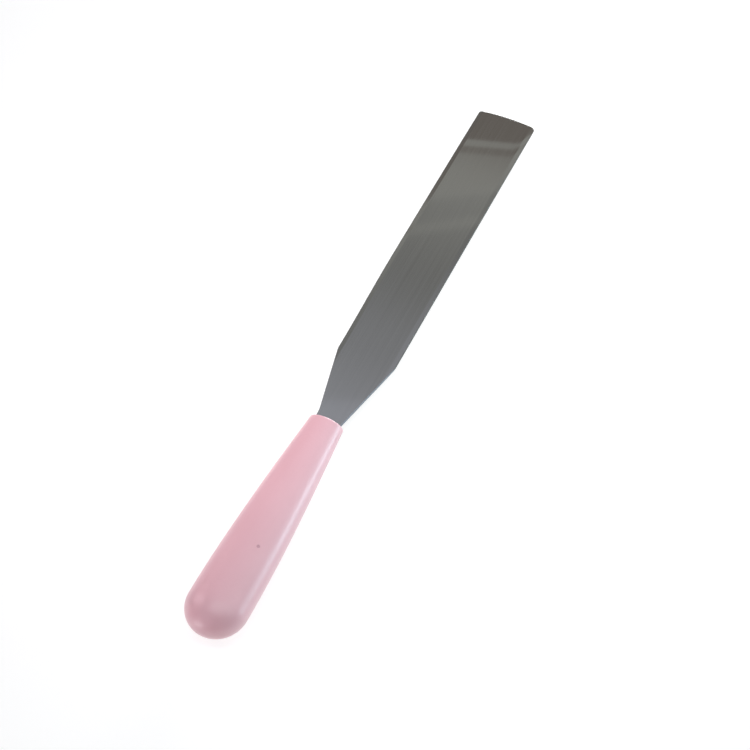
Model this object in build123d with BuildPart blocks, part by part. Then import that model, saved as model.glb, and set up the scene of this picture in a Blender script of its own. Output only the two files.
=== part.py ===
"""Palette knife: a flat spring-steel blade cemented and pinned into a painted oval handle.

The knife lies along X with its tip towards +X and its blade level. The origin is under the
middle of its length, at the height of the handle's lowest line. Every outline is drawn from
the neck point, on the long axis where the blade leaves the handle: the tip is towards
positive x from there and the butt towards negative x. Lengths are in millimetres.
"""

import os

from build123d import *

os.makedirs("parts", exist_ok=True)

# Blade, seen from above
blade_length = 152.4
blade_width = 23.6
blade_neck_width = 9.6
shoulder_x = 30.0
shoulder_radius = 9.0
tip_bulge = 0.8
left_tip_radius = 1.1
right_tip_radius = 1.9

# Blade, seen from the side
neck_thickness = 1.3
tip_thickness = 0.6
bevel_width = 1.7
bevel_depth = 0.17

# Tang, the blade's hidden root
tang_length = 64.0
tang_width = 8.8
tang_end_radius = 2.5

# Handle, seen from above; its section is an oval, flatter than it is wide
handle_length = 91.0
neck_width = 13.2
flank_width = 21.3
flank_x = -53.0
belly_width = 22.7
belly_x = -79.4
neck_slope = 0.092
neck_overrun = 2.0
neck_rim_radius = 0.6
handle_flatness = 0.69

# Mortise, cement and pin
cement_film = 0.3
cement_side_film = 0.5
cement_recess = 0.3
mortise_corner_radius = 0.4
pin_diameter = 1.2
pin_length = 12.0
pin_end_round = 0.15

# The pin's centre line crosses the tang here. It leans to the right, square to the handle's
# surface, and its end lies this far out along it, just under the paint.
pin_x = -56.4
pin_y = -2.07
pin_lean = 15.2
pin_end = 7.1

# The straight flanks of the blade's neck run on into the handle until they meet the tang.
neck_flank_slope = (blade_width - blade_neck_width) / 2 / shoulder_x
tang_root_x = -(blade_neck_width - tang_width) / 2 / neck_flank_slope
corner_x = blade_length - tip_bulge
bevel_inner_y = blade_width / 2 - bevel_width

mortise_width = blade_neck_width + 2 * cement_side_film
mortise_height = neck_thickness + 2 * cement_film
mortise_depth = tang_length + cement_film
overrun_width = neck_width - 2 * neck_slope * neck_overrun

# Three planes through the neck point, to draw on as seen from above, from the side and
# from the tip
neck_x = (handle_length - blade_length) / 2
axis_z = belly_width * handle_flatness / 2
neck_point = (neck_x, 0, axis_z)
long_axis = Axis(neck_point, (1, 0, 0))
from_above = Plane(neck_point, x_dir=(1, 0, 0), z_dir=(0, 0, 1))
from_side = Plane(neck_point, x_dir=(1, 0, 0), z_dir=(0, -1, 0))
from_tip = Plane(neck_point, x_dir=(0, 1, 0), z_dir=(1, 0, 0))
across_pin = Plane((neck_x + pin_x, pin_y, axis_z)).rotated((pin_lean, 0, 0))
pin_foot = across_pin.offset(pin_end - pin_length)

rounded_corners = [
    ((-tang_length, tang_width / 2), tang_end_radius),
    ((-tang_length, -tang_width / 2), tang_end_radius),
    ((shoulder_x, blade_width / 2), shoulder_radius),
    ((shoulder_x, -blade_width / 2), shoulder_radius),
    ((corner_x, blade_width / 2), left_tip_radius),
    ((corner_x, -blade_width / 2), right_tip_radius),
]


def half_outline(side):
    """The blade's edge on one side (+1 or -1), from the tang's end to the tip's corner."""
    return [
        (-tang_length, side * tang_width / 2),
        (tang_root_x, side * tang_width / 2),
        (shoulder_x, side * blade_width / 2),
        (corner_x, side * blade_width / 2),
    ]


# The pin's hole, cut from the blade and the handle: it runs from the pin's foot to the outside
with BuildPart() as pin_hole:
    with BuildSketch(pin_foot):
        Circle(pin_diameter / 2)
    extrude(amount=2 * pin_length)

# Blade: the outline is extruded, thinned towards the tip, then bevelled along its edges
with BuildPart() as blade:
    with BuildSketch(from_above) as blade_outline:
        with BuildLine():
            left_edge = Polyline(*half_outline(1))
            right_edge = Polyline(*half_outline(-1))
            ThreePointArc(left_edge @ 1, (blade_length, 0), right_edge @ 1)
            Line(left_edge @ 0, right_edge @ 0)
        make_face()
        for corner, radius in rounded_corners:
            fillet(blade_outline.vertices().sort_by_distance(corner)[0], radius)
    extrude(amount=neck_thickness / 2, both=True)

    with BuildSketch(from_side):
        with BuildLine():
            Polyline(
                (-tang_length, neck_thickness / 2),
                (0, neck_thickness / 2),
                (blade_length, tip_thickness / 2),
                (blade_length, -tip_thickness / 2),
                (0, -neck_thickness / 2),
                (-tang_length, -neck_thickness / 2),
                close=True,
            )
        make_face()
    extrude(amount=blade_width, both=True, mode=Mode.INTERSECT)

    for face_side in (1, -1):
        with BuildSketch(from_tip):
            with BuildLine():
                Polyline(
                    (bevel_inner_y, face_side * neck_thickness / 2),
                    (blade_width / 2, face_side * (neck_thickness / 2 - bevel_depth)),
                    (blade_width / 2, face_side * neck_thickness),
                    (bevel_inner_y, face_side * neck_thickness),
                    close=True,
                )
            make_face()
            mirror(about=Plane.YZ)
        along_face = (blade_length, 0, face_side * (tip_thickness - neck_thickness) / 2)
        extrude(amount=blade_length + blade_width, dir=along_face, mode=Mode.SUBTRACT)

    add(pin_hole.part, mode=Mode.SUBTRACT)

# Handle: the outline is turned about the long axis and flattened to an oval. It overruns the
# neck, is cut off flat there and has its rim rounded.
with BuildPart() as handle:
    with BuildSketch(from_above):
        with BuildLine():
            overrun_end = Line((neck_overrun, 0), (neck_overrun, overrun_width / 2))
            overrun = Line(overrun_end @ 1, (0, neck_width / 2))
            flank = Spline(
                overrun @ 1,
                (flank_x, flank_width / 2),
                (belly_x, belly_width / 2),
                tangents=[(-1, neck_slope), (-1, 0)],
            )
            butt = EllipticalCenterArc(
                center=(belly_x, 0),
                x_radius=handle_length + belly_x,
                y_radius=belly_width / 2,
                start_angle=90,
                arc_size=90,
            )
            Line(butt @ 1, overrun_end @ 0)
        make_face()
    revolve(axis=long_axis)
    scale(by=(1, 1, handle_flatness), about=neck_point)
    split(bisect_by=from_tip, keep=Keep.BOTTOM)
    fillet(handle.edges().sort_by(Axis.X)[-1], neck_rim_radius)

    with BuildSketch(from_tip):
        RectangleRounded(mortise_width, mortise_height, mortise_corner_radius)
    extrude(amount=-mortise_depth, mode=Mode.SUBTRACT)

    add(pin_hole.part, mode=Mode.SUBTRACT)

# Pin: a headless brad driven through the tang, with its outer end rounded
with BuildPart() as locking_pin:
    with BuildSketch(pin_foot):
        Circle(pin_diameter / 2)
    extrude(amount=pin_length)
    fillet(locking_pin.edges().sort_by(Axis.Z)[-1], pin_end_round)

# Cement: what the tang and the pin leave free in the mortise
with BuildPart() as tang_cement:
    with BuildSketch(from_tip.offset(-mortise_depth)):
        RectangleRounded(mortise_width, mortise_height, mortise_corner_radius)
    extrude(amount=mortise_depth - cement_recess)
    add(blade.part, mode=Mode.SUBTRACT)
    add(locking_pin.part, mode=Mode.SUBTRACT)

pieces = {
    "blade": blade,
    "handle": handle,
    "tang_cement": tang_cement,
    "locking_pin": locking_pin,
}
for name, piece in pieces.items():
    piece.part.label = name
    export_step(piece.part, f"parts/{name}.step")
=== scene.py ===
"""Looks of the palette knife: a brushed steel blade in a pink lacquered wooden handle.

Lengths are in metres. The knife lies along X with its tip towards +X. Stations along it are
distances from the neck, the plane where the blade leaves the handle: positive towards the
tip, negative towards the butt.
"""

import math

import bpy
import numpy as np
from mathutils import Matrix, Vector, noise


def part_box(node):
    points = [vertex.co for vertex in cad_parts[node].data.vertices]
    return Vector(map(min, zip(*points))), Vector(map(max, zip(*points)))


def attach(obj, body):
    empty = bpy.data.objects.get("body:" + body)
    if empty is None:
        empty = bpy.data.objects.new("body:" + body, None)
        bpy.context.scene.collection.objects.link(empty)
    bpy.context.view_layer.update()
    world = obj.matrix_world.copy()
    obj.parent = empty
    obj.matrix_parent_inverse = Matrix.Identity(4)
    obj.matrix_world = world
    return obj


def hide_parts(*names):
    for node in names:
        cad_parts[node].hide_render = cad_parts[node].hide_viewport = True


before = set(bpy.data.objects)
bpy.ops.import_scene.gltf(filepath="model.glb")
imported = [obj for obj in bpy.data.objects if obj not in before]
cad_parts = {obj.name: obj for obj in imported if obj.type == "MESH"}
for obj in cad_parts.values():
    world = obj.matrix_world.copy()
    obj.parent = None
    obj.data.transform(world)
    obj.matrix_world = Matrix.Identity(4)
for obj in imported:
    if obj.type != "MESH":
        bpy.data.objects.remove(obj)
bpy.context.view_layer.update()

MM = 0.001

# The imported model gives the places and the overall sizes
handle_low, handle_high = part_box("handle")
blade_low, blade_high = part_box("blade")
cement_low, cement_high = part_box("tang_cement")
NECK_X = handle_high[0]
AXIS_Z = (handle_low[2] + handle_high[2]) / 2
HANDLE_LENGTH = NECK_X - handle_low[0]
BELLY_HALF_WIDTH = (handle_high[1] - handle_low[1]) / 2
FLATNESS = (handle_high[2] - handle_low[2]) / (handle_high[1] - handle_low[1])
BLADE_LENGTH = blade_high[0] - NECK_X
BLADE_HALF_WIDTH = (blade_high[1] - blade_low[1]) / 2
TANG_LENGTH = NECK_X - blade_low[0]
NECK_HALF_THICKNESS = (blade_high[2] - blade_low[2]) / 2
SLOT_HALF_WIDTH = (cement_high[1] - cement_low[1]) / 2
SLOT_HALF_HEIGHT = (cement_high[2] - cement_low[2]) / 2
SLOT_DEPTH = NECK_X - cement_low[0]

# Handle: the rounding of its rim at the neck, and half widths at distances from the neck,
# with the slope of the outline at each
NECK_HALF_WIDTH = 6.6 * MM
RIM_RADIUS = 0.6 * MM
FLANK = [
    (0.0, NECK_HALF_WIDTH, 0.092),
    (53.0 * MM, 10.65 * MM, 0.0494),
    (79.4 * MM, BELLY_HALF_WIDTH, 0.0),
]
BUTT_START = FLANK[-1][0]

# The slot for the tang, and how far the lacquer rounds over its edge
SLOT_CORNER_RADIUS = 0.4 * MM
PAINT_EDGE = 0.12 * MM

# Pin, a leaning brad: where its centre line crosses the tang, and how far out its end lies
PIN_STATION = -56.4 * MM
PIN_Y = -2.07 * MM
PIN_OUT = 7.1 * MM
PIN_LENGTH = 12.0 * MM
PIN_RADIUS = 0.6 * MM
PIN_LEAN = math.radians(15.2)

# The drill that makes the pin's holes, and how much wider than the pin each hole is
DRILL_LENGTH = 1.5 * PIN_LENGTH
DRILL_SIDES = 48
HANDLE_HOLE_GAP = 0.02 * MM
CEMENT_HOLE_GAP = 0.01 * MM

# Blade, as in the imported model
SHOULDER = 30.0 * MM
SHOULDER_RADIUS = 9.0 * MM
BLADE_NECK_HALF_WIDTH = 4.8 * MM
TANG_HALF_WIDTH = 4.4 * MM
TIP_HALF_THICKNESS = 0.3 * MM
TIP_BULGE = 0.8 * MM
LEFT_TIP_RADIUS = 1.1 * MM
RIGHT_TIP_RADIUS = 1.9 * MM
BEVEL_WIDTH = 1.7 * MM
BEVEL_DEPTH = 0.17 * MM
EDGE_ROUND = 0.1 * MM

# The left edge is ground away a little, most of it between the neck and the shoulder
LEFT_WEAR = 0.66 * MM
LEFT_WEAR_FULL = (4.5 * MM, 30.0 * MM)
LEFT_WEAR_END = 75.0 * MM

# Kinks that use has left in the blade: millimetres from the neck, softness in millimetres,
# change of slope in degrees, how far each runs towards the tip per millimetre to the right,
# and whether it curls further towards the tip near the right edge
KINKS = [
    (1.0, 0.5, 0.5, 0.0, 0),
    (10.0, 1.0, -0.5, 0.4, 0),
    (38.0, 3.0, 0.25, 0.0, 0),
    (92.5, 0.8, -0.65, 0.65, 0),
    (97.5, 0.8, 0.65, 0.65, 0),
    (110.5, 0.8, -0.6, 0.65, 0),
    (132.3, 0.4, -0.3, 0.3, 1),
    (136.0, 0.4, 0.65, 0.3, 1),
    (139.7, 0.4, -0.85, 0.3, 1),
]

# How far a curling kink curls, and where that starts and ends to the right of the middle
CURL = 6.0 * MM
CURL_ZONE = (8.5 * MM, 12.5 * MM)


# ---------------------------------------------------------------- mesh helpers

# The angle up to which faces are smooth together, the shift that each noise seed adds, and
# the least length that a vector is divided by
SMOOTH_ANGLE = math.radians(35)
NOISE_SHIFT = (7.3, 3.1, 5.7)
TINY = 1e-9


def smooth_step(low, high, value):
    """0 below low, 1 above high, and a soft S between."""
    t = np.clip((value - low) / (high - low), 0, 1)
    return t * t * (3 - 2 * t)


def soft_noise(points, seed):
    """One smooth noise value between about -1 and 1 for each point."""
    shift = Vector([seed * step for step in NOISE_SHIFT])
    return np.array([noise.noise(Vector(point) + shift) for point in points])


def new_piece(name, vertices, faces, material):
    """A mesh object, smooth except where its faces meet at a sharp angle."""
    mesh = bpy.data.meshes.new(name)
    mesh.from_pydata([tuple(v) for v in vertices], [], faces)
    mesh.validate()
    mesh.shade_smooth()
    mesh.set_sharp_from_angle(angle=SMOOTH_ANGLE)
    mesh.materials.append(material)
    piece = bpy.data.objects.new(name, mesh)
    bpy.context.scene.collection.objects.link(piece)
    return piece


def side_faces(count, around):
    """Faces that join each of a tube's rings to the next."""
    faces = []
    for i in range(count - 1):
        row, next_row = i * around, (i + 1) * around
        for j in range(around):
            k = (j + 1) % around
            faces.append((row + j, row + k, next_row + k, next_row + j))
    return faces


def tube_mesh(rings):
    """Vertices and faces of a closed skin over rings of equal size, with a fan at each end."""
    count, around = rings.shape[:2]
    vertices = list(rings.reshape(-1, 3))
    vertices += [rings[0].mean(axis=0), rings[-1].mean(axis=0)]
    first_centre = count * around
    last_centre = first_centre + 1
    last_row = (count - 1) * around
    faces = side_faces(count, around)
    for j in range(around):
        k = (j + 1) % around
        faces.append((first_centre, k, j))
        faces.append((last_centre, last_row + j, last_row + k))
    return vertices, faces


def placed(station, y, z):
    """Points from stations, distances across and heights over the long axis."""
    station, y, z = np.broadcast_arrays(station, y, z)
    return np.stack([NECK_X + station, y, AXIS_Z + z], axis=-1)


def rounded_slot(half_width, half_height, radius, count):
    """Outline of a rounded rectangle, evenly spaced, starting at +Y and going towards +Z."""
    flat_y = half_width - radius
    flat_z = half_height - radius
    quarter = [flat_z, radius * math.pi / 2, flat_y]
    total = sum(quarter)
    outline = []
    for step in range(count // 4):
        way = total * step / (count // 4)
        if way <= quarter[0]:
            outline.append((half_width, way))
        elif way <= quarter[0] + quarter[1]:
            angle = (way - quarter[0]) / radius
            outline.append(
                (flat_y + radius * math.cos(angle), flat_z + radius * math.sin(angle))
            )
        else:
            outline.append((flat_y - (way - quarter[0] - quarter[1]), half_height))
    second = [(-y, z) for y, z in [(0.0, half_height)] + outline[:0:-1]]
    half = outline + second
    return np.array(half + [(-y, -z) for y, z in half])


# ---------------------------------------------------------------- handle

# Points round each ring, angles of the rings on the butt and on the neck's rim, and steps
# between the rings along the flank, which are finer round the pin
AROUND = 224
BUTT_ANGLES = np.radians(np.linspace(1.5, 88, 40))
RIM_ANGLES = np.radians(np.linspace(12, 90, 7))
RING_STEP = 0.9 * MM
FINE_STEP = 0.2 * MM
FINE_REACH = 2.4 * MM

# Hand sanding: waves per metre along, across and up, how deep they are, and the distance from
# the long axis from which they are at their full depth
SANDING = [
    ((45, 90, 90), 0.045 * MM),
    ((22, 260, 260), 0.018 * MM),
]
SANDING_FADE = 3 * MM

# The dimple in the lacquer round the pin's end: its depth, and the radii of its floor and rim
DIMPLE_DEPTH = 0.03 * MM
DIMPLE_FLOOR = 0.4 * MM
DIMPLE_RIM = 1.2 * MM

# Rings between the rim and the slot: shares of the way on the neck's flat face, angles on the
# lacquer's rounded edge, and the first ring inside the slot
NECK_FACE_SHARES = (0.25, 0.5, 0.75, 0.9)
PAINT_EDGE_ANGLES = np.radians((0, 30, 60, 90))
SLOT_MOUTH = 2 * MM


def flank_half_width(distance):
    """Half width at a distance from the neck towards the butt, a smooth cubic curve."""
    first, second = (FLANK[0], FLANK[1]) if distance < FLANK[1][0] else (FLANK[1], FLANK[2])
    span = second[0] - first[0]
    t = (distance - first[0]) / span
    return (
        (2 * t**3 - 3 * t**2 + 1) * first[1]
        + (t**3 - 2 * t**2 + t) * span * first[2]
        + (3 * t**2 - 2 * t**3) * second[1]
        + (t**3 - t**2) * span * second[2]
    )


def oval(station, half_width, inset=0.0):
    """One ring of the handle: an oval, or the line a distance inside it."""
    angles = np.linspace(0, 2 * math.pi, AROUND, endpoint=False)
    y, z = half_width * np.cos(angles), half_width * FLATNESS * np.sin(angles)
    normal_y, normal_z = FLATNESS * np.cos(angles), np.sin(angles)
    share = inset / np.hypot(normal_y, normal_z)
    return placed(station, y - normal_y * share, z - normal_z * share)


def outer_rings():
    """The handle's outside as rings, from the butt to the rounded rim at the neck."""
    butt_length = HANDLE_LENGTH - BUTT_START
    rings = []
    for angle in BUTT_ANGLES:
        station = -BUTT_START - butt_length * math.cos(angle)
        rings.append(oval(station, BELLY_HALF_WIDTH * math.sin(angle)))
    coarse = np.arange(BUTT_START, RIM_RADIUS, -RING_STEP)
    past_fine = FINE_REACH + FINE_STEP / 2
    fine = -PIN_STATION + np.arange(-FINE_REACH, past_fine, FINE_STEP)
    far_from_pin = np.abs(coarse + PIN_STATION) > past_fine
    distances = np.sort(np.concatenate([coarse[far_from_pin], fine, [RIM_RADIUS]]))[::-1]
    rings += [oval(-distance, flank_half_width(distance)) for distance in distances]
    rim_half_width = flank_half_width(RIM_RADIUS)
    for angle in RIM_ANGLES:
        station = -RIM_RADIUS + RIM_RADIUS * math.sin(angle)
        rings.append(oval(station, rim_half_width, RIM_RADIUS * (1 - math.cos(angle))))
    return np.array(rings)


def hand_sanded(rings):
    """Sinks the outside by a few hundredths of a millimetre, as hand sanding leaves it."""
    flat = rings.reshape(-1, 3)
    depth = np.zeros(len(flat))
    for seed, (waves, wave_depth) in enumerate(SANDING, start=1):
        depth += wave_depth * (1 + soft_noise(flat * waves, seed)) / 2
    inward = np.stack(
        [np.zeros(len(flat)), -flat[:, 1], -(flat[:, 2] - AXIS_Z) / FLATNESS**2], axis=1
    )
    length = np.linalg.norm(inward, axis=1, keepdims=True)
    inward = inward / np.maximum(length, TINY)
    fade = smooth_step(0, SANDING_FADE, np.hypot(flat[:, 1], flat[:, 2] - AXIS_Z))
    return (flat + inward * (depth * fade)[:, None]).reshape(rings.shape)


def along_pin():
    """The pin's direction, from its foot to its outer end."""
    return Vector((0, -math.sin(PIN_LEAN), math.cos(PIN_LEAN)))


def pin_end():
    """The middle of the pin's outer end."""
    return Vector((NECK_X + PIN_STATION, PIN_Y, AXIS_Z)) + along_pin() * PIN_OUT


def dimpled(rings):
    """Sinks the lacquer in a soft dimple round the pin's end."""
    distance = np.linalg.norm(rings - np.array(pin_end()), axis=-1)
    depth = DIMPLE_DEPTH * (1 - smooth_step(DIMPLE_FLOOR, DIMPLE_RIM, distance))
    return rings - depth[..., None] * np.array(along_pin())


def cut_pin_hole(piece, radius):
    """Drills the pin's hole in a piece, from the pin's foot out past the lacquer."""
    bpy.ops.mesh.primitive_cylinder_add(
        vertices=DRILL_SIDES,
        radius=radius,
        depth=DRILL_LENGTH,
        location=pin_end() + along_pin() * (DRILL_LENGTH / 2 - PIN_LENGTH),
        rotation=(PIN_LEAN, 0, 0),
    )
    drill = bpy.context.object
    hole = piece.modifiers.new("pin_hole", "BOOLEAN")
    hole.operation = "DIFFERENCE"
    hole.solver = "EXACT"
    hole.object = drill
    bpy.context.view_layer.objects.active = piece
    bpy.ops.object.modifier_apply(modifier=hole.name)
    bpy.data.objects.remove(drill)


def make_handle(material):
    """The outside, the neck face and the slot for the tang, in one closed skin."""
    rings = list(dimpled(hand_sanded(outer_rings())))
    rim_y, rim_z = rings[-1][:, 1], rings[-1][:, 2] - AXIS_Z
    slot = rounded_slot(SLOT_HALF_WIDTH, SLOT_HALF_HEIGHT, SLOT_CORNER_RADIUS, AROUND)
    for share in NECK_FACE_SHARES:
        rings.append(
            placed(
                0,
                rim_y * (1 - share) + slot[:, 0] * share,
                rim_z * (1 - share) + slot[:, 1] * share,
            )
        )
    for angle in PAINT_EDGE_ANGLES:
        growth = PAINT_EDGE * (1 - math.sin(angle))
        grown = rounded_slot(
            SLOT_HALF_WIDTH + growth, SLOT_HALF_HEIGHT + growth, SLOT_CORNER_RADIUS, AROUND
        )
        sunk = -PAINT_EDGE * (1 - math.cos(angle))
        rings.append(placed(sunk, grown[:, 0], grown[:, 1]))
    rings += [placed(-depth, slot[:, 0], slot[:, 1]) for depth in (SLOT_MOUTH, SLOT_DEPTH)]
    vertices, faces = tube_mesh(np.array(rings))
    piece = new_piece("handle_lacquered", vertices, faces, material)
    cut_pin_hole(piece, PIN_RADIUS + HANDLE_HOLE_GAP)
    return piece


# ---------------------------------------------------------------- blade

# The texture map that gives the steel its direction across the blade
ACROSS_MAP = "across_the_blade"

# Places across the blade: distances from its edge, then shares of the way from the middle
EDGE_STEPS = np.array([0, 0.025, 0.06, 0.1, 0.2, 0.45, 0.8, 1.2, 1.55, 1.7, 1.85, 2.2]) * MM
INNER_SHARES = np.array([0.86, 0.72, 0.58, 0.44, 0.3, 0.15, 0])

# Rings across the blade: where each run starts and ends, and the step between its rings.
# In the tip zone the rings take on the shape of the blade's end, and close up towards it.
# The rings of the runs count as far from the end, so they aren't rounded off there.
TIP_ZONE = 128.0 * MM
RING_RUNS = [
    (-TANG_LENGTH, -6 * MM, 4 * MM),
    (-4 * MM, 26 * MM, 1 * MM),
    (26 * MM, 34 * MM, 0.4 * MM),
    (34 * MM, TIP_ZONE, 1.5 * MM),
]
TIP_STEP = 0.35 * MM
TIP_STEPS_END = 1.2 * MM
FAR_FROM_END = 1.0


def across(half_width):
    """Places across the blade, from its left edge to its right, close together at the edges."""
    near_edge = half_width - EDGE_STEPS
    left = np.concatenate([near_edge, INNER_SHARES * near_edge[-1]])
    return np.concatenate([left, -left[-2::-1]])


def blade_half_width(station):
    """Half width along the tang, the flared neck, the rounded shoulder and the blade."""
    slope = (BLADE_HALF_WIDTH - BLADE_NECK_HALF_WIDTH) / SHOULDER
    flare = BLADE_NECK_HALF_WIDTH + slope * station
    bend = SHOULDER_RADIUS * math.tan(math.atan(slope) / 2)
    if station < SHOULDER - bend * math.cos(math.atan(slope)):
        return max(flare, TANG_HALF_WIDTH)
    if station < SHOULDER + bend:
        past = SHOULDER + bend - station
        return BLADE_HALF_WIDTH - (SHOULDER_RADIUS - math.sqrt(SHOULDER_RADIUS**2 - past**2))
    return BLADE_HALF_WIDTH


def left_wear(station):
    """How much narrower the blade is on its left."""
    starting = smooth_step(0, LEFT_WEAR_FULL[0], station)
    ending = smooth_step(LEFT_WEAR_FULL[1], LEFT_WEAR_END, station)
    return LEFT_WEAR * starting * (1 - ending)


def tip_end(y):
    """Station of the blade's end at each distance across: a shallow arc with round corners."""
    arc_radius = (BLADE_HALF_WIDTH**2 + TIP_BULGE**2) / (2 * TIP_BULGE)
    arc_centre = BLADE_LENGTH - arc_radius
    end = arc_centre + np.sqrt(arc_radius**2 - y**2)
    for side, radius in ((1, LEFT_TIP_RADIUS), (-1, RIGHT_TIP_RADIUS)):
        inset = BLADE_HALF_WIDTH - radius
        centre = arc_centre + math.sqrt((arc_radius - radius) ** 2 - inset**2)
        tangent_y = inset * arc_radius / (arc_radius - radius)
        past = np.clip(side * y - inset, 0, radius)
        corner = centre + np.sqrt(radius**2 - past**2)
        end = np.where(side * y > tangent_y, corner, end)
    return end


def bend_of_blade(station, y):
    """Height that use has bent the blade by: a few soft kinks that cross it at a slant."""
    curl = CURL * smooth_step(*CURL_ZONE, -y)
    height = 0.0
    for place, softness, degrees, slant, curls in KINKS:
        past = station + slant * y - curl * curls - place * MM
        scale = softness * MM
        height = height + math.radians(degrees) * scale * np.logaddexp(0, past / scale)
    return height


def blade_surface(station, y, half_width, distance_to_end):
    """Half thickness of the blade under its bevels and its rounded edges."""
    share = np.clip(station / BLADE_LENGTH, 0, 1)
    half = NECK_HALF_THICKNESS + (TIP_HALF_THICKNESS - NECK_HALF_THICKNESS) * share
    bevel_start = BLADE_HALF_WIDTH - BEVEL_WIDTH
    half = half - BEVEL_DEPTH * np.clip((np.abs(y) - bevel_start) / BEVEL_WIDTH, 0, 1)
    from_edge = np.minimum(half_width - np.abs(y), distance_to_end)
    into_round = np.clip(EDGE_ROUND - from_edge, 0, EDGE_ROUND)
    return half - (EDGE_ROUND - np.sqrt(EDGE_ROUND**2 - into_round**2))


def map_across(piece):
    """A texture map whose first axis runs across the blade, square to the grinding lines."""
    layer = piece.data.uv_layers.new(name=ACROSS_MAP)
    for loop in piece.data.loops:
        point = piece.data.vertices[loop.vertex_index].co
        layer.data[loop.index].uv = (
            (point.y - blade_low[1]) / (2 * BLADE_HALF_WIDTH),
            (point.x - blade_low[0]) / (blade_high[0] - blade_low[0]),
        )


def blade_rows():
    """Rows across the blade: stations, places across, half width and distances to the end."""
    rows = []
    for station in np.concatenate([np.arange(*run) for run in RING_RUNS]):
        half_width = blade_half_width(station)
        y = across(half_width)
        rows.append((station, y, half_width, FAR_FROM_END))
    zone_length = BLADE_LENGTH - TIP_ZONE
    even_steps = np.arange(zone_length, TIP_STEPS_END, -TIP_STEP)
    last_steps = EDGE_STEPS[EDGE_STEPS < TIP_STEPS_END - TIP_STEP / 2][::-1]
    y = across(BLADE_HALF_WIDTH)
    end = tip_end(y)
    for distance in np.concatenate([even_steps, last_steps]):
        share = 1 - distance / zone_length
        station = TIP_ZONE + (end - TIP_ZONE) * share
        rows.append((station, y, BLADE_HALF_WIDTH, end - station))
    return rows


def make_blade(material):
    """Blade and tang as one closed skin of rings that run over the top and back below."""
    rings = []
    for station, y, half_width, distance_to_end in blade_rows():
        half = blade_surface(station, y, half_width, distance_to_end)
        bend = bend_of_blade(station, y)
        worn_y = y - left_wear(station) * smooth_step(0, half_width, y)
        top = placed(station, worn_y, bend + half)
        bottom = placed(station, worn_y, bend - half)
        rings.append(np.concatenate([top, bottom[::-1]]))
    rings = np.array(rings)[:, ::-1]
    count, around = rings.shape[:2]
    last_row = (count - 1) * around
    faces = side_faces(count, around)
    for j in range(around // 2 - 1):
        below, next_below = around - 1 - j, around - 2 - j
        faces.append((j + 1, j, below, next_below))
        faces.append((last_row + j, last_row + j + 1, last_row + next_below, last_row + below))
    piece = new_piece("blade_brushed", rings.reshape(-1, 3), faces, material)
    map_across(piece)
    cut_pin_hole(piece, PIN_RADIUS)
    return piece


# ---------------------------------------------------------------- pin and cement

# Pin: points round it, shares of its radius with heights over its foot, shares of its length
# that have a ring, and shares of its radius with depths under its top, in diameters
PIN_AROUND = 40
PIN_FOOT = [(0.94, 0.0), (1.0, 0.1 * MM)]
PIN_SHAFT = (0.25, 0.5, 0.75)
PIN_DOME = [(1.0, 0.07), (0.96, 0.04), (0.84, 0.02), (0.62, 0.008), (0.35, 0.002), (0.12, 0.0)]

# Cement: points round it, the play between it and its neighbours, the tang's corners, the
# depth of its top at the wall and at the blade, how hollow the top is between them, shares
# of the way where the hollow has a ring, and depths of the rings along the tang
CEMENT_AROUND = 96
CEMENT_GAP = 0.01 * MM
TANG_CORNER = 0.15 * MM
CEMENT_WALL_DEPTH = 0.14 * MM
CEMENT_BLADE_DEPTH = 0.12 * MM
CEMENT_HOLLOW = 0.28 * MM
HOLLOW_POWER = 0.8
HOLLOW_SHARES = (0.15, 0.35, 0.6, 0.8, 0.93)
TANG_DEPTHS = (CEMENT_BLADE_DEPTH, 0.5 * MM, 1.0 * MM, 1.5 * MM, 2.0 * MM)


def make_pin(material):
    """A brad with a softly hammered, domed end."""
    angles = np.linspace(0, 2 * math.pi, PIN_AROUND, endpoint=False)
    stack = PIN_FOOT + [(1.0, PIN_LENGTH * part) for part in PIN_SHAFT]
    stack += [(share, PIN_LENGTH - sink * 2 * PIN_RADIUS) for share, sink in PIN_DOME]
    foot = np.array(pin_end() - along_pin() * PIN_LENGTH)
    forward = np.array((1.0, 0.0, 0.0))
    sideways = np.cross(np.array(along_pin()), forward)
    rings = []
    for share, height in stack:
        circle = np.cos(angles)[:, None] * forward + np.sin(angles)[:, None] * sideways
        rings.append(foot + np.array(along_pin()) * height + circle * share * PIN_RADIUS)
    vertices, faces = tube_mesh(np.array(rings))
    return new_piece("pin_painted", vertices, faces, material)


def round_tang(depth):
    """Outline of the cement where it meets the tang, at a depth in the slot."""
    return rounded_slot(
        blade_half_width(-depth) + CEMENT_GAP,
        NECK_HALF_THICKNESS + CEMENT_GAP,
        TANG_CORNER,
        CEMENT_AROUND,
    )


def make_cement(material):
    """The resin in one closed skin: up the slot's wall, over its hollow top, down the tang."""
    outer = rounded_slot(
        SLOT_HALF_WIDTH - CEMENT_GAP,
        SLOT_HALF_HEIGHT - CEMENT_GAP,
        SLOT_CORNER_RADIUS,
        CEMENT_AROUND,
    )
    sections = [(SLOT_DEPTH - CEMENT_GAP, outer), (CEMENT_WALL_DEPTH, outer)]
    for share in HOLLOW_SHARES:
        depth = CEMENT_WALL_DEPTH + CEMENT_HOLLOW * math.sin(math.pi * share) ** HOLLOW_POWER
        sections.append((depth, outer * (1 - share) + round_tang(depth) * share))
    for depth in (*TANG_DEPTHS, TANG_LENGTH + CEMENT_GAP):
        sections.append((depth, round_tang(depth)))
    rings = [placed(-depth, outline[:, 0], outline[:, 1]) for depth, outline in sections]
    vertices, faces = tube_mesh(np.array(rings))
    piece = new_piece("cement_bead", vertices, faces, material)
    cut_pin_hole(piece, PIN_RADIUS + CEMENT_HOLE_GAP)
    return piece


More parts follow.
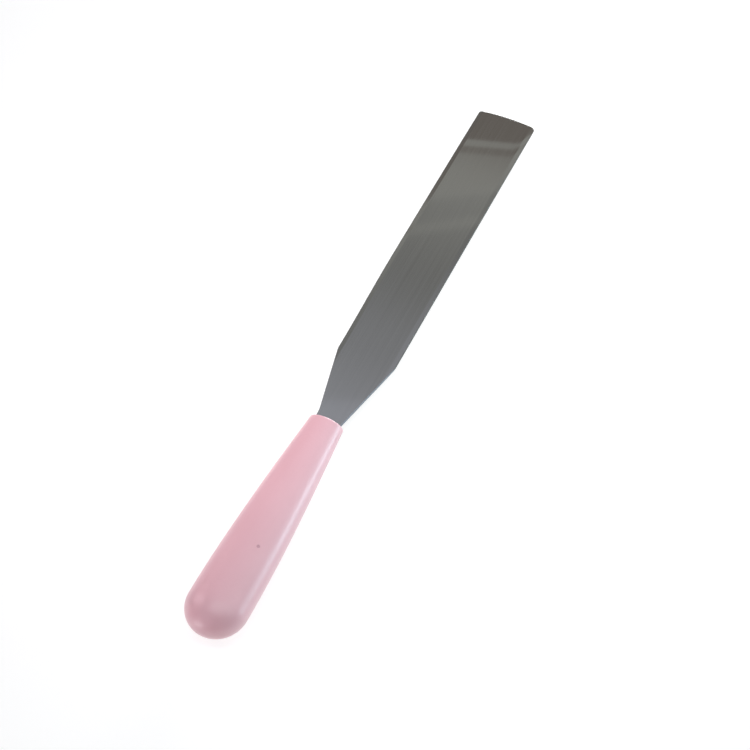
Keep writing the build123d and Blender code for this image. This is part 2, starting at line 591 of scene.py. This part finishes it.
# ---------------------------------------------------------------- materials


class Nodes:
    """The node tree of a material or a world, with short calls to add and link nodes."""

    def __init__(self, owner):
        owner.use_nodes = True
        self.owner = owner
        self.tree = owner.node_tree
        self.shader = self.tree.nodes.get("Principled BSDF")

    def add(self, kind, **settings):
        """A new node of a kind, with its settings."""
        node = self.tree.nodes.new(kind)
        for key, value in settings.items():
            setattr(node, key, value)
        return node

    def link(self, source, target):
        """Leads an output into an input."""
        self.tree.links.new(source, target)

    def axes(self, kind):
        """X, Y and Z of a kind of texture coordinate, such as the surface's own normal."""
        coordinates = self.add("ShaderNodeTexCoord")
        split = self.add("ShaderNodeSeparateXYZ")
        self.link(coordinates.outputs[kind], split.inputs["Vector"])
        return [split.outputs[name] for name in "XYZ"]

    def position(self, scale):
        """Object coordinates, stretched by a scale along each axis."""
        coordinates = self.add("ShaderNodeTexCoord")
        mapping = self.add("ShaderNodeMapping")
        mapping.inputs["Scale"].default_value = scale
        self.link(coordinates.outputs["Object"], mapping.inputs["Vector"])
        return mapping.outputs["Vector"]

    def noise(self, scale, detail, roughness=0.5):
        """Noise between 0 and 1, with a scale of cells per metre along each axis."""
        node = self.add("ShaderNodeTexNoise")
        node.inputs["Scale"].default_value = 1.0
        node.inputs["Detail"].default_value = detail
        node.inputs["Roughness"].default_value = roughness
        self.link(self.position(scale), node.inputs["Vector"])
        return node.outputs["Fac"]

    def spread(self, value, low, high, out_low, out_high):
        """A value's range low..high mapped to out_low..out_high, without leaving it."""
        node = self.add("ShaderNodeMapRange", clamp=True)
        numbers = (low, high, out_low, out_high)
        for name, number in zip(("From Min", "From Max", "To Min", "To Max"), numbers):
            node.inputs[name].default_value = number
        self.link(value, node.inputs["Value"])
        return node.outputs["Result"]

    def ramp(self, value, stops):
        """A colour for each value, from (place, colour) stops."""
        node = self.add("ShaderNodeValToRGB")
        elements = node.color_ramp.elements
        for element, (place, colour) in ((elements[0], stops[0]), (elements[1], stops[-1])):
            element.position = place
            element.color = (*colour, 1)
        for place, colour in stops[1:-1]:
            elements.new(place).color = (*colour, 1)
        self.link(value, node.inputs["Fac"])
        return node.outputs["Color"]

    def math(self, operation, first, second):
        """Arithmetic on two values, each a socket or a number."""
        node = self.add("ShaderNodeMath", operation=operation)
        for socket, value in zip(node.inputs, (first, second)):
            if isinstance(value, (int, float)):
                socket.default_value = value
            else:
                self.link(value, socket)
        return node.outputs["Value"]

    def mix(self, factor, first, second, blend="MIX"):
        """Two colours mixed by a factor, through the sockets that this node has for colours."""
        node = self.add("ShaderNodeMix", data_type="RGBA", blend_type=blend)
        sockets = [node.inputs[place] for place in (0, 6, 7)]
        for socket, value in zip(sockets, (factor, first, second)):
            if isinstance(value, (int, float)):
                socket.default_value = value
            elif isinstance(value, tuple):
                socket.default_value = (*value, 1)
            else:
                self.link(value, socket)
        return node.outputs[2]

    def bump(self, height, distance, strength, under=None):
        """A normal from a height of 0 to 1 over a distance in metres, on top of another bump."""
        node = self.add("ShaderNodeBump")
        node.inputs["Strength"].default_value = strength
        node.inputs["Distance"].default_value = distance
        self.link(height, node.inputs["Height"])
        if under is not None:
            self.link(under, node.inputs["Normal"])
        return node.outputs["Normal"]


def steel_material():
    """Steel with fine lengthwise grinding lines, and unpolished edges coloured with painted
    shade and a painted bluish reflection.
    """
    nodes = Nodes(bpy.data.materials.new("brushed_steel_blade"))
    shader = nodes.shader
    shader.inputs["Anisotropic"].default_value = 0.95
    shader.inputs["Specular IOR Level"].default_value = 0.1
    tangent = nodes.add("ShaderNodeTangent", direction_type="UV_MAP", uv_map=ACROSS_MAP)
    nodes.link(tangent.outputs["Tangent"], shader.inputs["Tangent"])
    fine = nodes.noise((26, 5200, 400), detail=5, roughness=0.6)
    coarse = nodes.noise((9, 1150, 300), detail=3)
    patches = nodes.noise((14, 55, 55), detail=3)
    streak = nodes.ramp(
        nodes.spread(fine, 0.35, 0.65, 0, 1),
        [(0.0, (0.545, 0.545, 0.545)), (1.0, (0.595, 0.595, 0.595))],
    )
    faint = nodes.spread(coarse, 0.35, 0.65, 0.98, 1.02)
    streak = nodes.mix(1.0, streak, faint, "MULTIPLY")
    streak = nodes.mix(nodes.spread(patches, 0.3, 0.7, 0, 0.3), streak, (0.56, 0.56, 0.56))
    normal_x, _, normal_z = nodes.axes("Normal")
    upright = nodes.math("ABSOLUTE", normal_z, 0)
    on_face = nodes.spread(upright, 0.7, 0.97, 0, 1)
    # The edge's colour is painted shade, darkest along the straight sides and dark at the tip,
    # with a painted bluish reflection at the shoulders
    lengthwise = nodes.math("ABSOLUTE", normal_x, 0)
    edge = nodes.ramp(
        lengthwise,
        [
            (0.03, (0.085, 0.083, 0.08)),
            (0.18, (0.24, 0.255, 0.29)),
            (0.4, (0.24, 0.255, 0.29)),
            (0.7, (0.12, 0.115, 0.11)),
        ],
    )
    colour = nodes.mix(on_face, edge, streak)
    nodes.link(colour, shader.inputs["Base Color"])
    nodes.link(on_face, shader.inputs["Metallic"])
    rough = nodes.math(
        "ADD",
        nodes.spread(coarse, 0.3, 0.7, 0.09, 0.12),
        nodes.spread(fine, 0.3, 0.7, -0.01, 0.015),
    )
    rough = nodes.math("ADD", rough, nodes.spread(on_face, 0, 1, 0.25, 0))
    nodes.link(rough, shader.inputs["Roughness"])
    lines = nodes.bump(fine, 0.002 * MM, 0.5)
    nodes.link(nodes.bump(coarse, 0.004 * MM, 0.5, under=lines), shader.inputs["Normal"])
    return nodes.owner


def lacquer_material():
    """Pale pink satin lacquer over fine-grained wood."""
    nodes = Nodes(bpy.data.materials.new("pink_lacquer"))
    shader = nodes.shader
    shader.inputs["Coat Weight"].default_value = 1.0
    shader.inputs["Coat Roughness"].default_value = 0.36
    shader.inputs["Coat IOR"].default_value = 1.6
    shader.inputs["Specular IOR Level"].default_value = 0.2
    grain = nodes.noise((60, 900, 900), detail=4, roughness=0.55)
    cloud = nodes.noise((40, 60, 60), detail=3)
    peel = nodes.noise((950, 950, 950), detail=1.5)
    colour = nodes.ramp(
        nodes.spread(cloud, 0.3, 0.7, 0, 1),
        [(0.0, (0.725, 0.41, 0.46)), (1.0, (0.76, 0.44, 0.49))],
    )
    colour = nodes.mix(nodes.spread(grain, 0.55, 0.8, 0, 0.10), colour, (0.66, 0.32, 0.37))
    nodes.link(colour, shader.inputs["Base Color"])
    nodes.link(nodes.spread(grain, 0.2, 0.8, 0.34, 0.42), shader.inputs["Roughness"])
    skin = nodes.bump(peel, 0.02 * MM, 0.8)
    nodes.link(nodes.bump(grain, 0.010 * MM, 0.5, under=skin), shader.inputs["Normal"])
    nodes.link(nodes.bump(peel, 0.16 * MM, 0.8), shader.inputs["Coat Normal"])
    return nodes.owner


def pin_material():
    """The pin's end under the same lacquer, thinner, and a darker pink than the handle with a
    blotchy tone.
    """
    nodes = Nodes(bpy.data.materials.new("pin_thin_lacquer"))
    shader = nodes.shader
    shader.inputs["Coat Weight"].default_value = 0.2
    shader.inputs["Coat Roughness"].default_value = 0.3
    stain = nodes.noise((2600, 2600, 2600), detail=3)
    colour = nodes.ramp(
        nodes.spread(stain, 0.3, 0.7, 0, 1),
        [(0.0, (0.50, 0.26, 0.30)), (1.0, (0.60, 0.32, 0.37))],
    )
    nodes.link(colour, shader.inputs["Base Color"])
    nodes.link(nodes.spread(stain, 0.2, 0.8, 0.4, 0.55), shader.inputs["Roughness"])
    nodes.link(nodes.bump(stain, 0.01 * MM, 0.6), shader.inputs["Normal"])
    return nodes.owner


def cement_material():
    """Brown-grey cured resin with specks of filler."""
    nodes = Nodes(bpy.data.materials.new("tang_resin"))
    shader = nodes.shader
    specks = nodes.noise((3000, 3000, 3000), detail=3, roughness=0.7)
    colour = nodes.ramp(
        nodes.spread(specks, 0.3, 0.7, 0, 1),
        [(0.0, (0.12, 0.085, 0.055)), (1.0, (0.30, 0.225, 0.15))],
    )
    nodes.link(colour, shader.inputs["Base Color"])
    nodes.link(nodes.spread(specks, 0.2, 0.8, 0.35, 0.6), shader.inputs["Roughness"])
    nodes.link(nodes.bump(specks, 0.02 * MM, 0.6), shader.inputs["Normal"])
    return nodes.owner


def floor_material():
    """Plain matt white paper, lit from below as on a light table."""
    nodes = Nodes(bpy.data.materials.new("white_paper_floor"))
    shader = nodes.shader
    fibres = nodes.noise((700, 700, 700), detail=3)
    colour = nodes.ramp(
        nodes.spread(fibres, 0.3, 0.7, 0, 1),
        [(0.0, (0.39, 0.39, 0.39)), (1.0, (0.41, 0.41, 0.41))],
    )
    nodes.link(colour, shader.inputs["Base Color"])
    shader.inputs["Roughness"].default_value = 0.9
    shader.inputs["Specular IOR Level"].default_value = 0.1
    shader.inputs["Emission Color"].default_value = (1, 1, 1, 1)
    shader.inputs["Emission Strength"].default_value = 0.74
    return nodes.owner


# ---------------------------------------------------------------- studio

# Floor: its size, and how often its slope is fitted again to the blade's lowest point
FLOOR_SIZE = 6.0
FLOOR_ROUNDS = 3

# Camera: the point it looks at, as a station and a distance to the left, its direction from
# there and its roll in degrees, its distance, and its lens and sensor in millimetres
CAMERA_AIM = (25.16 * MM, -6.33 * MM)
CAMERA_AZIMUTH = -146.892
CAMERA_ELEVATION = 56.685
CAMERA_ROLL = -7.442
CAMERA_DISTANCE = 0.73309
FOCAL_LENGTH = 98.181
SENSOR_WIDTH = 36

# Lights: name, azimuth and elevation in degrees, width and height, brightness, colour, the
# station that it is aimed at and how many degrees wide its beam is. All are equally far away.
LIGHT_DISTANCE = 0.45
MID_HANDLE = -45 * MM
LIGHTS = [
    ("window_right", 306, 12, (0.28, 0.2), 1.6, (0.75, 0.94, 1.0), MID_HANDLE, 180),
    ("strip_right", 300, 11, (0.3, 0.05), 17.5, (0.54, 0.93, 1.0), 10 * MM, 80),
    ("window_tip", 0, 10, (0.3, 0.19), 9.0, (1, 1, 1), MID_HANDLE, 180),
    ("fill_right", 270, 60, (0.22, 0.22), 3.4, (0.94, 1, 1), 10 * MM, 70),
    ("fill_left", 92, 36, (0.22, 0.22), 10.0, (1, 0.80, 0.85), 22 * MM, 37),
    ("fill_above", 180, 82, (0.22, 0.22), 7.2, (1, 1, 1), 25 * MM, 46),
    ("fill_butt", 150, 10, (0.14, 0.14), 12.0, (1, 0.97, 0.98), -85 * MM, 30),
]

# The studio's grey, and the lowest direction whose place on the ceiling is worked out
STUDIO_COLOUR = (0.15, 0.15, 0.15)
LOWEST_HEIGHT = 0.05

# The patch of sky, on a ceiling one unit up: its middle line, how far from that line it starts
# and stops fading out, between which heights of direction it fades in, and its colours along X
PATCH_MIDDLE = 0.37
PATCH_SIDE_FADE = (0.30, 0.55)
PATCH_HEIGHT_FADE = (0.35, 0.5)
PATCH_COLOURS = [
    (0.40, (0.60, 0.62, 0.70)),
    (0.62, (0.22, 0.22, 0.21)),
    (0.74, (0.38, 0.38, 0.35)),
    (0.78, (0.20, 0.18, 0.16)),
]


def make_floor(blade, material):
    """A plain floor that touches the handle's belly and the blade's lowest corner."""
    handle_points = np.array([v.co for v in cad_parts["handle"].data.vertices])
    blade_points = np.array([v.co for v in blade.data.vertices])
    tip = blade_points[np.argmax(blade_points[:, 0])]
    for _ in range(FLOOR_ROUNDS):
        slope = np.max((tip[2] - handle_points[:, 2]) / (tip[0] - handle_points[:, 0]))
        tip = blade_points[np.argmin(blade_points[:, 2] - slope * blade_points[:, 0])]
    bpy.ops.mesh.primitive_plane_add(size=FLOOR_SIZE, location=(tip[0], 0, tip[2]))
    floor = bpy.context.object
    floor.name = "floor"
    floor.rotation_euler = (0, -math.atan(slope), 0)
    floor.data.materials.append(material)
    return floor


def direction(azimuth, elevation):
    """Unit vector at an azimuth from +X and an elevation, both in degrees."""
    azimuth, elevation = math.radians(azimuth), math.radians(elevation)
    level = math.cos(elevation)
    return Vector((level * math.cos(azimuth), level * math.sin(azimuth), math.sin(elevation)))


def soft_light(name, azimuth, elevation, size, strength, colour, aim, spread):
    """A rectangular light aimed at a station, which the camera doesn't see.

    The strength is the brightness on the middle line of its beam.
    """
    target = Vector((NECK_X + aim, 0, AXIS_Z))
    outward = direction(azimuth, elevation)
    half_spread = math.radians(spread) / 2
    data = bpy.data.lights.new(name, "AREA")
    data.shape = "RECTANGLE"
    data.size, data.size_y = size
    data.color = colour
    data.spread = 2 * half_spread
    # A narrow beam needs less power for the same brightness
    beam_share = 1 - half_spread / math.tan(half_spread)
    data.energy = strength * size[0] * size[1] * math.pi * beam_share
    light = bpy.data.objects.new(name, data)
    light.location = target + outward * LIGHT_DISTANCE
    light.rotation_euler = (-outward).to_track_quat("-Z", "Y").to_euler()
    light.visible_camera = False
    bpy.context.scene.collection.objects.link(light)


def make_camera():
    """The camera looks down on the knife from beyond the butt, on the handle's right."""
    target = Vector((NECK_X + CAMERA_AIM[0], CAMERA_AIM[1], AXIS_Z))
    backward = direction(CAMERA_AZIMUTH, CAMERA_ELEVATION)
    data = bpy.data.cameras.new("camera")
    data.lens = FOCAL_LENGTH
    data.sensor_width = SENSOR_WIDTH
    camera = bpy.data.objects.new("camera", data)
    camera.location = target + backward * CAMERA_DISTANCE
    level = (-backward).to_track_quat("-Z", "Y").to_matrix()
    roll = Matrix.Rotation(math.radians(CAMERA_ROLL), 3, "Z")
    camera.rotation_euler = (level @ roll).to_euler()
    bpy.context.scene.collection.objects.link(camera)
    bpy.context.scene.camera = camera


def make_sky():
    """A dark grey studio with one soft-edged patch of sky, for the steel to reflect.

    A direction's x over its z and its y over its z are the place where it meets a ceiling one
    unit up. Along X the patch goes from cool and bright to dim, then pale, then dark.
    """
    nodes = Nodes(bpy.data.worlds.new("studio"))
    bpy.context.scene.world = nodes.owner
    x, y, z = nodes.axes("Generated")
    height = nodes.math("MAXIMUM", z, LOWEST_HEIGHT)
    along = nodes.math("DIVIDE", x, height)
    sideways = nodes.math("DIVIDE", y, height)
    off_middle = nodes.math("ABSOLUTE", nodes.math("SUBTRACT", sideways, PATCH_MIDDLE), 0)
    across_patch = nodes.spread(off_middle, *PATCH_SIDE_FADE, 1, 0)
    high_enough = nodes.spread(z, *PATCH_HEIGHT_FADE, 0, 1)
    inside = nodes.math("MULTIPLY", across_patch, high_enough)
    sky = nodes.mix(inside, STUDIO_COLOUR, nodes.ramp(along, PATCH_COLOURS))
    nodes.link(sky, nodes.tree.nodes["Background"].inputs["Color"])


# ---------------------------------------------------------------- the scene

bpy.context.scene.view_settings.view_transform = "Standard"

handle = make_handle(lacquer_material())
blade = make_blade(steel_material())
pin = make_pin(pin_material())
cement = make_cement(cement_material())
for piece, node, slot in (
    (handle, "handle", "handle_lacquer"),
    (blade, "blade", "blade_steel"),
    (pin, "locking_pin", "pin_painted_steel"),
    (cement, "tang_cement", "cement_resin"),
):
    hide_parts(node)
    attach(piece, "root")

make_floor(blade, floor_material())
for light in LIGHTS:
    soft_light(*light)
make_sky()
make_camera()
